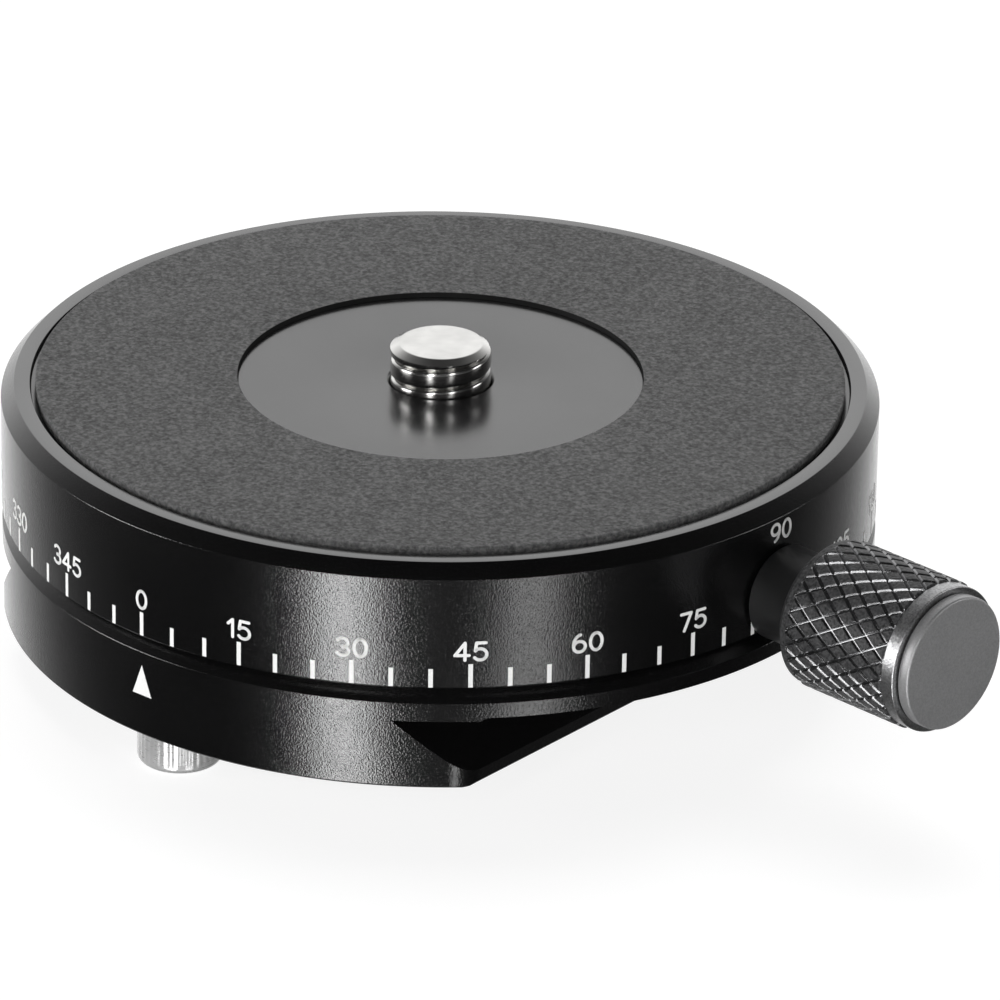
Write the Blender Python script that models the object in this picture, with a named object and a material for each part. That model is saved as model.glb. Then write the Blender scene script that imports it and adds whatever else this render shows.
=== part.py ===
"""Panning plate: a dovetail base, a graduated turntable, and a screw lock with a knurled knob.

Z is up. The pan axis is the Z axis, and z = 0 is the underside of the dovetail foot.
The foot runs along Y. The zero of the scale faces -Y and the lock knob points to +X.
"""

from math import asin, atan2, cos, pi, radians, sin, sqrt

import bmesh
import bpy
from mathutils import Matrix, Vector

# Whole plate, in metres
BODY_DIAMETER = 0.0550
BASE_THICKNESS = 0.00647
DISC_GAP = 0.00020
TURNTABLE_THICKNESS = 0.00810
SEAT_GAP = 0.00005
RUNNING_GAP = 0.00010
CUT_OVERRUN = 0.0010
MERGE_DISTANCE = 0.0000005

# Dovetail foot of the base
FOOT_WIDTH = 0.03877
FOOT_HEIGHT = 0.00450
FOOT_LIP_HEIGHT = 0.00090
FOOT_EDGE_BREAK = 0.00015
FOOT_CORNER_RADIUS = 0.0030
FOOT_RELIEF_WIDTH = 0.0398
FOOT_RELIEF_DEPTH = 0.00022
BASE_TOP_CHAMFER = 0.00080
BASE_EDGE_BREAK = 0.00015

# Glide ring, let into the top of the base
GLIDE_RING_INSET = 0.0013
GLIDE_RING_WIDTH = 0.0035
GLIDE_GROOVE_DEPTH = 0.00050

# Stop screws under the ends of the foot
STOP_SCREW_INSET = 0.00341
STOP_SCREW_DIAMETER = 0.0030
STOP_SCREW_REACH = 0.0048
STOP_HEAD_DIAMETER = 0.0053
STOP_HEAD_HEIGHT = 0.0030
STOP_HEAD_ROUNDING = 0.00045
STOP_SPOT_FACE_DEPTH = 0.00034
STOP_SOCKET_WIDTH = 0.0025
STOP_SOCKET_DEPTH = 0.0016

# Spindle that the turntable turns on
PILOT_STEP = 0.0050
PILOT_EDGE_BREAK = 0.00030
DRUM_SEAT_HEIGHT = 0.0050
FLANGE_OVERHANG = 0.0025
FLANGE_THICKNESS = 0.00080
SPINDLE_POCKET_DIAMETER = 0.0150
SPINDLE_POCKET_DEPTH = 0.0032
SPINDLE_SCREW_COUNT = 3
SPINDLE_SCREW_INSET = 0.0020
SPINDLE_SCREW_DIAMETER = 0.0025
SPINDLE_SCREW_HEAD_DIAMETER = 0.0047
SPINDLE_SCREW_LENGTH = 0.0088
SPINDLE_SOCKET_WIDTH = 0.0015
SPINDLE_SOCKET_DEPTH = 0.0009

# Turntable
TOP_CHAMFER = 0.00083
TURNTABLE_EDGE_BREAK = 0.00015
RIM_WIDTH = 0.00100
RECESS_DEPTH = 0.00042
WEB_THICKNESS = 0.00125
CAVITY_DIAMETER = 0.0344
FLANGE_CLEARANCE = 0.00030

# Rubber pad in the pocket of the turntable
PAD_GROOVE_WIDTH = 0.00035
PAD_THICKNESS = 0.00070
PAD_EDGE_BREAK = 0.00012
PAD_HOLE_DIAMETER = 0.0254

# Camera stud
STUD_DIAMETER = 0.00635
STUD_PROTRUSION = 0.00249
STUD_END_CHAMFER = 0.00055
STUD_HEAD_DIAMETER = 0.0120
STUD_HEAD_THICKNESS = 0.0012
STUD_HEAD_CHAMFER = 0.00020
STUD_SOCKET_WIDTH = 0.0040
STUD_SOCKET_DEPTH = 0.0010

# Retainer that traps the flange, and the washers on each side of the flange
GLIDE_WASHER_THICKNESS = 0.00020
RETAINER_THICKNESS = 0.0011
RETAINER_SCREW_COUNT = 4
RETAINER_SCREW_INSET = 0.0018
RETAINER_SCREW_DIAMETER = 0.0020
RETAINER_SCREW_HEAD_DIAMETER = 0.0036
RETAINER_SCREW_LENGTH = 0.0028
RETAINER_SOCKET_WIDTH = 0.0012
RETAINER_SOCKET_DEPTH = 0.0006
COUNTERSINK_RIM = 0.00015

# Brake shoe
SHOE_HEIGHT = 0.0035
SHOE_SIDE_INSET = 0.0040
SHOE_CLEARANCE = 0.00015
SHOE_WALL_CLEARANCE = 0.00080
SHOE_POCKET_DEPTH = 0.0015
SHOE_CORNER_BREAK = 0.00030

# Lock screw
LOCK_RISE = 0.00236
LOCK_OFFSET = 0.00169
LOCK_SCREW_DIAMETER = 0.0030
LOCK_TIP_DIAMETER = 0.0020
LOCK_SCREW_GRIP = 0.0085
LOCK_TIP_CHAMFER = 0.00030

# Lock knob, from its neck outwards
NECK_DIAMETER = 0.0060
NECK_CLEARANCE = 0.00020
NECK_LENGTH = 0.00365
KNOB_INNER_CHAMFER = 0.00045
KNOB_INNER_RIM_LENGTH = 0.00085
KNOB_RIM_DIAMETER = 0.00920
KNURL_LENGTH = 0.00780
KNURL_HEIGHT = 0.00013
KNURL_DEPTH = 0.00022
KNURL_RUNOUT = 0.00006
BAND_LENGTH = 0.00090
BAND_EDGE_BREAK = 0.00008
CAP_GROOVE_WIDTH = 0.00010
CAP_DIAMETER = 0.00840
CAP_HEIGHT = 0.00075
CAP_EDGE_BREAK = 0.00015
CAP_SPIGOT_DIAMETER = 0.00680
CAP_SPIGOT_LENGTH = 0.0010

# Counts, angles and shares
BODY_STEPS = 72
HUB_STEPS = 40
SCREW_STEPS = 24
SMALL_SCREW_STEPS = 16
ARC_STEPS = 12
CORNER_STEPS = 6
HEAD_ROUNDING_STEPS = 3
SOCKET_SIDES = 6
SHARP_ANGLE = radians(28)
SHOE_BREAK_ANGLE = radians(60)
LOCK_ANGLE = radians(-3.6)
RETAINER_SCREW_ANGLE = radians(45)
KNURL_COUNT = 27
KNURL_HALF_ROWS = 9
KNURL_GROOVE_SHARE = 0.30
DRUM_SHARE = 0.64

# Diameters and spacings of what lies inside the turntable's cavity and on the base's rim
DRUM_DIAMETER = DRUM_SHARE * CAVITY_DIAMETER
PILOT_DIAMETER = DRUM_DIAMETER - 2 * PILOT_STEP
SHOE_WIDTH = DRUM_DIAMETER - 2 * SHOE_SIDE_INSET
GLIDE_RING_INNER_DIAMETER = CAVITY_DIAMETER + 2 * GLIDE_RING_INSET
SPINDLE_SCREW_CIRCLE = DRUM_DIAMETER - 2 * SPINDLE_SCREW_INSET
RETAINER_SCREW_CIRCLE = CAVITY_DIAMETER - 2 * RETAINER_SCREW_INSET
STOP_SCREW_SPACING = BODY_DIAMETER - 2 * STOP_SCREW_INSET

# Radii that follow from the diameters
BODY_RADIUS = BODY_DIAMETER / 2
FOOT_HALF_WIDTH = FOOT_WIDTH / 2
DRUM_RADIUS = DRUM_DIAMETER / 2
PILOT_RADIUS = PILOT_DIAMETER / 2
CAVITY_RADIUS = CAVITY_DIAMETER / 2
FLANGE_RADIUS = DRUM_RADIUS + FLANGE_OVERHANG
FLANGE_POCKET_RADIUS = FLANGE_RADIUS + FLANGE_CLEARANCE
STUD_RADIUS = STUD_DIAMETER / 2
RECESS_RADIUS = BODY_RADIUS - TOP_CHAMFER - RIM_WIDTH
PAD_RADIUS = RECESS_RADIUS - PAD_GROOVE_WIDTH
PAD_HOLE_RADIUS = PAD_HOLE_DIAMETER / 2
GLIDE_RING_INNER_RADIUS = GLIDE_RING_INNER_DIAMETER / 2
GLIDE_RING_OUTER_RADIUS = GLIDE_RING_INNER_RADIUS + GLIDE_RING_WIDTH
NECK_RADIUS = NECK_DIAMETER / 2
LOCK_SCREW_RADIUS = LOCK_SCREW_DIAMETER / 2
LOCK_TIP_RADIUS = LOCK_TIP_DIAMETER / 2
KNOB_RIM_RADIUS = KNOB_RIM_DIAMETER / 2
KNURL_RADIUS = KNOB_RIM_RADIUS + KNURL_HEIGHT
CAP_RADIUS = CAP_DIAMETER / 2
CAP_SPIGOT_RADIUS = CAP_SPIGOT_DIAMETER / 2

# Heights above the underside of the foot, from the bottom up
BASE_TOP = BASE_THICKNESS
TURNTABLE_BOTTOM = BASE_TOP + DISC_GAP
RIM_TOP = TURNTABLE_BOTTOM + TURNTABLE_THICKNESS
RECESS_FLOOR = RIM_TOP - RECESS_DEPTH
PAD_BOTTOM = RECESS_FLOOR + SEAT_GAP
PAD_TOP = PAD_BOTTOM + PAD_THICKNESS
STUD_TIP = RIM_TOP + STUD_PROTRUSION
CEILING = RECESS_FLOOR - WEB_THICKNESS
LOCK_AXIS_HEIGHT = TURNTABLE_BOTTOM + LOCK_RISE
DRUM_BOTTOM = DRUM_SEAT_HEIGHT + SEAT_GAP

# Stack inside the turntable, from the ceiling down
UPPER_WASHER_TOP = CEILING - SEAT_GAP
UPPER_WASHER_BOTTOM = UPPER_WASHER_TOP - GLIDE_WASHER_THICKNESS
FLANGE_TOP = UPPER_WASHER_BOTTOM - SEAT_GAP
FLANGE_BOTTOM = FLANGE_TOP - FLANGE_THICKNESS
LOWER_WASHER_TOP = FLANGE_BOTTOM - SEAT_GAP
LOWER_WASHER_BOTTOM = LOWER_WASHER_TOP - GLIDE_WASHER_THICKNESS
RETAINER_TOP = LOWER_WASHER_BOTTOM - SEAT_GAP
SHOULDER = RETAINER_TOP + SEAT_GAP
RETAINER_BOTTOM = RETAINER_TOP - RETAINER_THICKNESS
SHOE_TOP = RETAINER_BOTTOM - SHOE_CLEARANCE
SHOE_BOTTOM = SHOE_TOP - SHOE_HEIGHT

# Stations along the lock axis, measured from its point nearest to the pan axis
SHOE_INNER_RADIUS = DRUM_RADIUS + SEAT_GAP
SHOE_OUTER_RADIUS = CAVITY_RADIUS - SHOE_WALL_CLEARANCE
SHOE_BACK = sqrt(SHOE_OUTER_RADIUS ** 2 - LOCK_OFFSET ** 2)
SHOE_POCKET_FLOOR = SHOE_BACK - SHOE_POCKET_DEPTH
LOCK_TIP = SHOE_POCKET_FLOOR + SEAT_GAP
WALL_STATION = sqrt(BODY_RADIUS ** 2 - LOCK_OFFSET ** 2)
NECK_START = WALL_STATION + NECK_CLEARANCE
KNOB_START = NECK_START + NECK_LENGTH
KNURL_START = KNOB_START + KNOB_INNER_RIM_LENGTH
KNURL_END = KNURL_START + KNURL_LENGTH
BAND_END = KNURL_END + BAND_LENGTH
CAP_SEAT = BAND_END - CAP_SPIGOT_LENGTH
CAP_SHOULDER = BAND_END + CAP_GROOVE_WIDTH
CAP_FACE = CAP_SHOULDER + CAP_HEIGHT
LOCK_SCREW_END = NECK_START + LOCK_SCREW_GRIP


def clear_scene():
    """Remove what a new file starts with."""
    for item in list(bpy.data.objects):
        bpy.data.objects.remove(item, do_unlink=True)


def make_material(name, colour, roughness, metallic):
    """Return a material with the given colour, roughness and metallic value."""
    material = bpy.data.materials.new(name)
    material.use_nodes = True
    shader = material.node_tree.nodes["Principled BSDF"]
    shader.inputs["Base Color"].default_value = (*colour, 1)
    shader.inputs["Roughness"].default_value = roughness
    shader.inputs["Metallic"].default_value = metallic
    material.diffuse_color = (*colour, 1)
    return material


def black_anodised():
    return make_material("black_anodised", (0.022, 0.022, 0.023), 0.36, 0.75)


def grey_knurled():
    return make_material("grey_knurled", (0.085, 0.085, 0.088), 0.38, 0.80)


def satin_cap():
    return make_material("satin_cap", (0.20, 0.20, 0.205), 0.42, 0.85)


def pad_rubber():
    return make_material("pad_rubber", (0.075, 0.075, 0.077), 0.85, 0.0)


def bright_steel():
    return make_material("bright_steel", (0.62, 0.61, 0.59), 0.22, 1.0)


def zinc_steel():
    return make_material("zinc_steel", (0.70, 0.70, 0.70), 0.30, 1.0)


def dark_steel():
    return make_material("dark_steel", (0.12, 0.12, 0.125), 0.40, 1.0)


def turned_steel():
    return make_material("turned_steel", (0.45, 0.45, 0.46), 0.30, 1.0)


def glide_plastic():
    return make_material("glide_plastic", (0.78, 0.77, 0.73), 0.50, 0.0)


def shoe_brass():
    return make_material("shoe_brass", (0.62, 0.46, 0.20), 0.35, 1.0)


def make_object(name, bm, material):
    """Turn a bmesh into a named object with smooth round walls and sharp edges."""
    bmesh.ops.remove_doubles(bm, verts=bm.verts, dist=MERGE_DISTANCE)
    bmesh.ops.recalc_face_normals(bm, faces=bm.faces)
    mesh = bpy.data.meshes.new(name)
    bm.to_mesh(mesh)
    bm.free()
    mesh.shade_smooth()
    mesh.set_sharp_from_angle(angle=SHARP_ANGLE)
    item = bpy.data.objects.new(name, mesh)
    if material is not None:
        mesh.materials.append(material)
    bpy.context.scene.collection.objects.link(item)
    return item


def revolve(bm, profile, steps):
    """Spin a profile of (radius, height) points once round the Z axis.

    A profile that starts and ends on the axis stays open there, and any other is closed.
    """
    points = [bm.verts.new((radius, 0, height)) for radius, height in profile]
    edges = [bm.edges.new(pair) for pair in zip(points, points[1:])]
    on_axis = profile[0][0] == 0 and profile[-1][0] == 0
    if not on_axis:
        edges.append(bm.edges.new((points[-1], points[0])))
    bmesh.ops.spin(bm, geom=points + edges, cent=(0, 0, 0), axis=(0, 0, 1), dvec=(0, 0, 0),
                   angle=2 * pi, steps=steps, use_merge=True, use_duplicate=False)


def turned(name, profile, steps, material=None):
    """Make a turned piece from its profile."""
    bm = bmesh.new()
    revolve(bm, profile, steps)
    return make_object(name, bm, material)


def extruded(name, outline, start, direction, material=None):
    """Extrude an outline of 3-D points from start along direction."""
    bm = bmesh.new()
    corners = [bm.verts.new(Vector(start) + Vector(point)) for point in outline]
    face = bm.faces.new(corners)
    result = bmesh.ops.extrude_face_region(bm, geom=[face])
    moved = [part for part in result["geom"] if isinstance(part, bmesh.types.BMVert)]
    bmesh.ops.translate(bm, verts=moved, vec=Vector(direction))
    return make_object(name, bm, material)


def hide_cutter(cutter):
    """Mark an object as a cutter, which is no piece of the plate."""
    cutter.hide_render = True
    cutter.display_type = "WIRE"


def cut(item, cutter):
    """Subtract a cutter from a piece."""
    hide_cutter(cutter)
    modifier = item.modifiers.new(cutter.name, "BOOLEAN")
    modifier.operation = "DIFFERENCE"
    modifier.solver = "EXACT"
    modifier.object = cutter


def make_empty(name, parent=None):
    """Make an empty that carries the pieces of one axis."""
    empty = bpy.data.objects.new(name, None)
    empty.empty_display_size = BODY_RADIUS
    empty.parent = parent
    bpy.context.scene.collection.objects.link(empty)
    return empty


def carry(parent, *pieces):
    """Parent pieces to the empty of the axis that they turn on."""
    for piece in pieces:
        piece.parent = parent


def hexagon_cutter(name, width, depth):
    """Make a six-sided cutter for a key socket that opens at z = 0 and goes up."""
    bm = bmesh.new()
    corner_radius = width / 2 / cos(pi / SOCKET_SIDES)
    height = depth + CUT_OVERRUN
    middle = Matrix.Translation((0, 0, (depth - CUT_OVERRUN) / 2))
    bmesh.ops.create_cone(bm, cap_ends=True, segments=SOCKET_SIDES, radius1=corner_radius,
                          radius2=corner_radius, depth=height, matrix=middle)
    return make_object(name, bm, None)


def ring_angles(count, first=0.0):
    """Return equally spaced angles round the pan axis."""
    return [first + 2 * pi * index / count for index in range(count)]


def put_at(item, place, steps):
    """Put a turned item at its place, with a facet and not an edge along each axis."""
    item.location = place
    item.rotation_euler.z = pi / steps


def spindle_screw_places():
    radius = SPINDLE_SCREW_CIRCLE / 2
    return [(radius * cos(a), radius * sin(a), SEAT_GAP) for a in ring_angles(SPINDLE_SCREW_COUNT, pi / 2)]


def retainer_screw_places():
    radius = RETAINER_SCREW_CIRCLE / 2
    height = RETAINER_BOTTOM + SEAT_GAP
    angles = ring_angles(RETAINER_SCREW_COUNT, RETAINER_SCREW_ANGLE)
    return [(radius * cos(a), radius * sin(a), height) for a in angles]


def stop_screw_places():
    return [(0, side * STOP_SCREW_SPACING / 2, 0) for side in (-1, 1)]


def countersunk_profile(diameter, head_diameter, length, clearance=0.0, overrun=0.0):
    """Profile of a countersunk screw, head down at z = 0, or of its hole with a clearance."""
    radius = diameter / 2 + clearance
    head = head_diameter / 2 + clearance
    cone_top = COUNTERSINK_RIM + head - radius
    return [(0, -overrun), (head, -overrun), (head, COUNTERSINK_RIM), (radius, cone_top),
            (radius, length + clearance), (0, length + clearance)]


def countersunk_screws(prefix, places, diameter, head_diameter, length, socket, material):
    """Make countersunk screws that point up, each with its key socket."""
    profile = countersunk_profile(diameter, head_diameter, length)
    screws = []
    for index, place in enumerate(places):
        screw = turned(f"{prefix}_{index + 1}", profile, SMALL_SCREW_STEPS, material)
        put_at(screw, place, SMALL_SCREW_STEPS)
        socket_cutter = hexagon_cutter(f"{prefix}_{index + 1}_socket_cutter", *socket)
        socket_cutter.location = place
        cut(screw, socket_cutter)
        screws.append(screw)
    return screws


def cut_countersunk_holes(item, label, places, diameter, head_diameter, length):
    """Cut the holes that countersunk screws pass through or screw into."""
    profile = countersunk_profile(diameter, head_diameter, length, RUNNING_GAP, CUT_OVERRUN)
    for index, place in enumerate(places):
        cutter = turned(f"{item.name}_{label}_cutter_{index + 1}", profile, SMALL_SCREW_STEPS)
        put_at(cutter, place, SMALL_SCREW_STEPS)
        cut(item, cutter)


def base_profile():
    """Profile of the base before the foot is cut from it."""
    bore = PILOT_RADIUS + RUNNING_GAP
    drum_pocket = DRUM_RADIUS + RUNNING_GAP
    groove_inner = GLIDE_RING_INNER_RADIUS - RUNNING_GAP
    groove_outer = GLIDE_RING_OUTER_RADIUS + RUNNING_GAP
    groove_floor = BASE_TOP - GLIDE_GROOVE_DEPTH
    return [
        (bore, 0), (bore, DRUM_SEAT_HEIGHT), (drum_pocket, DRUM_SEAT_HEIGHT), (drum_pocket, BASE_TOP),
        (groove_inner, BASE_TOP), (groove_inner, groove_floor), (groove_outer, groove_floor),
        (groove_outer, BASE_TOP), (BODY_RADIUS - BASE_TOP_CHAMFER, BASE_TOP),
        (BODY_RADIUS, BASE_TOP - BASE_TOP_CHAMFER), (BODY_RADIUS, BASE_EDGE_BREAK),
        (BODY_RADIUS - BASE_EDGE_BREAK, 0),
    ]


def foot_groove_outline(side):
    """Section of the clamping groove on one side of the foot, in X and Z."""
    waist = FOOT_HALF_WIDTH - (FOOT_HEIGHT - FOOT_LIP_HEIGHT)
    break_start = FOOT_HALF_WIDTH - FOOT_EDGE_BREAK - CUT_OVERRUN
    relief = FOOT_RELIEF_WIDTH / 2
    ceiling = FOOT_HEIGHT + FOOT_RELIEF_DEPTH
    outside = BODY_RADIUS + CUT_OVERRUN
    section = [
        (break_start, -CUT_OVERRUN), (FOOT_HALF_WIDTH, FOOT_EDGE_BREAK), (FOOT_HALF_WIDTH, FOOT_LIP_HEIGHT),
        (waist, FOOT_HEIGHT), (relief, FOOT_HEIGHT), (relief + FOOT_RELIEF_DEPTH, ceiling),
        (outside, ceiling), (outside, -CUT_OVERRUN),
    ]
    return [(side * x, 0, z) for x, z in section]


def foot_corner_outline(side, end):
    """Plan of what is cut away where the lip meets the round wall, to leave a rounded corner."""
    radius = FOOT_CORNER_RADIUS
    centre_x = FOOT_HALF_WIDTH - radius
    centre_y = sqrt((BODY_RADIUS - radius) ** 2 - centre_x ** 2)
    sweep = atan2(centre_y, centre_x)
    arc = []
    for index in range(CORNER_STEPS + 1):
        angle = sweep * index / CORNER_STEPS
        arc.append((centre_x + radius * cos(angle), centre_y + radius * sin(angle)))
    stretch = (BODY_RADIUS + CUT_OVERRUN) / BODY_RADIUS
    beyond = [(arc[-1][0] * stretch, arc[-1][1] * stretch),
              (FOOT_HALF_WIDTH + CUT_OVERRUN, arc[-1][1] * stretch),
              (FOOT_HALF_WIDTH + CUT_OVERRUN, centre_y)]
    return [(side * x, end * y, 0) for x, y in arc + beyond]


def cut_foot(base):
    """Cut the 45 degree dovetail, and round the lip's corners."""
    length = BODY_DIAMETER + 2 * CUT_OVERRUN
    for side, label in ((-1, "left"), (1, "right")):
        outline = foot_groove_outline(side)
        groove = extruded(f"foot_groove_cutter_{label}", outline, (0, -length / 2, 0), (0, length, 0))
        cut(base, groove)
        for end, place in ((-1, "front"), (1, "rear")):
            corner = extruded(f"foot_corner_cutter_{label}_{place}", foot_corner_outline(side, end),
                              (0, 0, -CUT_OVERRUN), (0, 0, FOOT_HEIGHT + CUT_OVERRUN))
            cut(base, corner)


def stop_hole_profile():
    """Profile of a stop screw's spot face and blind hole."""
    spot = STOP_HEAD_DIAMETER / 2 + RUNNING_GAP
    bore = STOP_SCREW_DIAMETER / 2 + RUNNING_GAP
    floor = STOP_SPOT_FACE_DEPTH + STOP_SCREW_REACH + SEAT_GAP
    return [(0, -CUT_OVERRUN), (spot, -CUT_OVERRUN), (spot, STOP_SPOT_FACE_DEPTH),
            (bore, STOP_SPOT_FACE_DEPTH), (bore, floor), (0, floor)]


def make_base_plate(material):
    """Lower disc with its dovetail foot, spindle bore and screw holes."""
    base = turned("base_plate", base_profile(), BODY_STEPS, material)
    cut_foot(base)
    cut_countersunk_holes(base, "spindle_screw", spindle_screw_places(), SPINDLE_SCREW_DIAMETER,
                          SPINDLE_SCREW_HEAD_DIAMETER, SPINDLE_SCREW_LENGTH)
    for place, label in zip(stop_screw_places(), ("front", "rear")):
        hole = turned(f"stop_hole_cutter_{label}", stop_hole_profile(), SCREW_STEPS)
        put_at(hole, place, SCREW_STEPS)
        cut(base, hole)
    return base


def make_glide_ring(material):
    """Ring that the turntable glides on, standing a little proud of the base."""
    bottom = BASE_TOP - GLIDE_GROOVE_DEPTH + SEAT_GAP
    top = TURNTABLE_BOTTOM - SEAT_GAP
    profile = [(GLIDE_RING_INNER_RADIUS, bottom), (GLIDE_RING_INNER_RADIUS, top),
               (GLIDE_RING_OUTER_RADIUS, top), (GLIDE_RING_OUTER_RADIUS, bottom)]
    return turned("glide_ring", profile, HUB_STEPS, material)


def stop_screw_profile():
    """Profile of a cap screw seated in its spot face, head down."""
    shank = STOP_SCREW_DIAMETER / 2
    head = STOP_HEAD_DIAMETER / 2
    top = STOP_SPOT_FACE_DEPTH - SEAT_GAP
    bottom = top - STOP_HEAD_HEIGHT
    centre = head - STOP_HEAD_ROUNDING
    rounding = []
    for index in range(HEAD_ROUNDING_STEPS + 1):
        angle = pi / 2 * index / HEAD_ROUNDING_STEPS
        rounding.append((centre + STOP_HEAD_ROUNDING * sin(angle),
                         bottom + STOP_HEAD_ROUNDING - STOP_HEAD_ROUNDING * cos(angle)))
    reach = STOP_SPOT_FACE_DEPTH + STOP_SCREW_REACH
    return [(0, bottom), *rounding, (head, top), (shank, top), (shank, reach), (0, reach)]


def make_stop_screws(material):
    """Cap screws whose heads stop the foot from sliding out of its clamp."""
    head_bottom = STOP_SPOT_FACE_DEPTH - SEAT_GAP - STOP_HEAD_HEIGHT
    screws = []
    for place, label in zip(stop_screw_places(), ("front", "rear")):
        screw = turned(f"stop_screw_{label}", stop_screw_profile(), SCREW_STEPS, material)
        put_at(screw, place, SCREW_STEPS)
        socket = hexagon_cutter(f"stop_screw_{label}_socket_cutter", STOP_SOCKET_WIDTH, STOP_SOCKET_DEPTH)
        socket.location = (place[0], place[1], head_bottom)
        cut(screw, socket)
        screws.append(screw)
    return screws


def make_spindle(material):
    """Pilot, brake drum and top flange in one turned piece, with a pocket for the stud's head."""
    pocket = SPINDLE_POCKET_DIAMETER / 2
    profile = [
        (0, 0), (PILOT_RADIUS - PILOT_EDGE_BREAK, 0), (PILOT_RADIUS, PILOT_EDGE_BREAK),
        (PILOT_RADIUS, DRUM_BOTTOM), (DRUM_RADIUS, DRUM_BOTTOM), (DRUM_RADIUS, FLANGE_BOTTOM),
        (FLANGE_RADIUS, FLANGE_BOTTOM), (FLANGE_RADIUS, FLANGE_TOP), (pocket, FLANGE_TOP),
        (pocket, FLANGE_TOP - SPINDLE_POCKET_DEPTH), (0, FLANGE_TOP - SPINDLE_POCKET_DEPTH),
    ]
    spindle = turned("spindle", profile, HUB_STEPS, material)
    cut_countersunk_holes(spindle, "screw", spindle_screw_places(), SPINDLE_SCREW_DIAMETER,
                          SPINDLE_SCREW_HEAD_DIAMETER, SPINDLE_SCREW_LENGTH)
    return spindle


def turntable_profile():
    """Profile of the turntable: ring-shaped pocket for the pad on top, bearing cavity below."""
    stud_bore = STUD_RADIUS + SEAT_GAP
    centre = PAD_HOLE_RADIUS - SEAT_GAP
    return [
        (CAVITY_RADIUS, TURNTABLE_BOTTOM), (CAVITY_RADIUS, SHOULDER), (FLANGE_POCKET_RADIUS, SHOULDER),
        (FLANGE_POCKET_RADIUS, CEILING), (stud_bore, CEILING), (stud_bore, RIM_TOP),
        (centre, RIM_TOP), (centre, RECESS_FLOOR), (RECESS_RADIUS, RECESS_FLOOR),
        (RECESS_RADIUS, RIM_TOP), (BODY_RADIUS - TOP_CHAMFER, RIM_TOP),
        (BODY_RADIUS, RIM_TOP - TOP_CHAMFER), (BODY_RADIUS, TURNTABLE_BOTTOM + TURNTABLE_EDGE_BREAK),
        (BODY_RADIUS - TURNTABLE_EDGE_BREAK, TURNTABLE_BOTTOM),
    ]


def make_turntable(material, lock_axis):
    """Upper disc with the bore of the lock screw and the retainer's screw holes."""
    turntable = turned("turntable", turntable_profile(), BODY_STEPS, material)
    bore = LOCK_SCREW_RADIUS + RUNNING_GAP
    middle_of_cavity = (DRUM_RADIUS + CAVITY_RADIUS) / 2
    outside = BODY_RADIUS + CUT_OVERRUN
    profile = [(0, middle_of_cavity), (bore, middle_of_cavity), (bore, outside), (0, outside)]
    bore_cutter = turned("lock_bore_cutter", profile, SCREW_STEPS)
    carry(lock_axis, bore_cutter)
    cut(turntable, bore_cutter)
    cut_countersunk_holes(turntable, "retainer_screw", retainer_screw_places(), RETAINER_SCREW_DIAMETER,
                          RETAINER_SCREW_HEAD_DIAMETER, RETAINER_SCREW_LENGTH)
    return turntable


def make_grip_pad(material):
    """Rubber ring that lies in its pocket and stands proud of the rim and the centre."""
    profile = [
        (PAD_HOLE_RADIUS, PAD_BOTTOM), (PAD_HOLE_RADIUS, PAD_TOP - PAD_EDGE_BREAK),
        (PAD_HOLE_RADIUS + PAD_EDGE_BREAK, PAD_TOP), (PAD_RADIUS - PAD_EDGE_BREAK, PAD_TOP),
        (PAD_RADIUS, PAD_TOP - PAD_EDGE_BREAK), (PAD_RADIUS, PAD_BOTTOM),
    ]
    return turned("grip_pad", profile, BODY_STEPS, material)


def make_camera_stud(material):
    """Camera stud with a low head under the web, driven by a key from below."""
    head = STUD_HEAD_DIAMETER / 2
    head_top = CEILING - SEAT_GAP
    head_bottom = head_top - STUD_HEAD_THICKNESS
    profile = [
        (0, head_bottom), (head - STUD_HEAD_CHAMFER, head_bottom), (head, head_bottom + STUD_HEAD_CHAMFER),
        (head, head_top), (STUD_RADIUS, head_top), (STUD_RADIUS, STUD_TIP - STUD_END_CHAMFER),
        (STUD_RADIUS - STUD_END_CHAMFER, STUD_TIP), (0, STUD_TIP),
    ]
    stud = turned("camera_stud", profile, SCREW_STEPS, material)
    socket = hexagon_cutter("camera_stud_socket_cutter", STUD_SOCKET_WIDTH, STUD_SOCKET_DEPTH)
    socket.location = (0, 0, head_bottom)
    cut(stud, socket)
    return stud


def make_glide_washer(name, bottom, material):
    """Thin washer on one side of the spindle's flange."""
    inner = DRUM_RADIUS + RUNNING_GAP
    top = bottom + GLIDE_WASHER_THICKNESS
    profile = [(inner, bottom), (inner, top), (FLANGE_RADIUS, top), (FLANGE_RADIUS, bottom)]
    return turned(name, profile, HUB_STEPS, material)


def make_glide_washers(material):
    return [make_glide_washer("glide_washer_upper", UPPER_WASHER_BOTTOM, material),
            make_glide_washer("glide_washer_lower", LOWER_WASHER_BOTTOM, material)]


def make_retainer_ring(material):
    """Ring under the flange, which keeps the turntable from lifting off."""
    inner = DRUM_RADIUS + RUNNING_GAP
    outer = CAVITY_RADIUS - RUNNING_GAP
    profile = [(inner, RETAINER_BOTTOM), (inner, RETAINER_TOP), (outer, RETAINER_TOP), (outer, RETAINER_BOTTOM)]
    ring = turned("retainer_ring", profile, HUB_STEPS, material)
    cut_countersunk_holes(ring, "screw", retainer_screw_places(), RETAINER_SCREW_DIAMETER,
                          RETAINER_SCREW_HEAD_DIAMETER, RETAINER_SCREW_LENGTH)
    return ring


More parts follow.
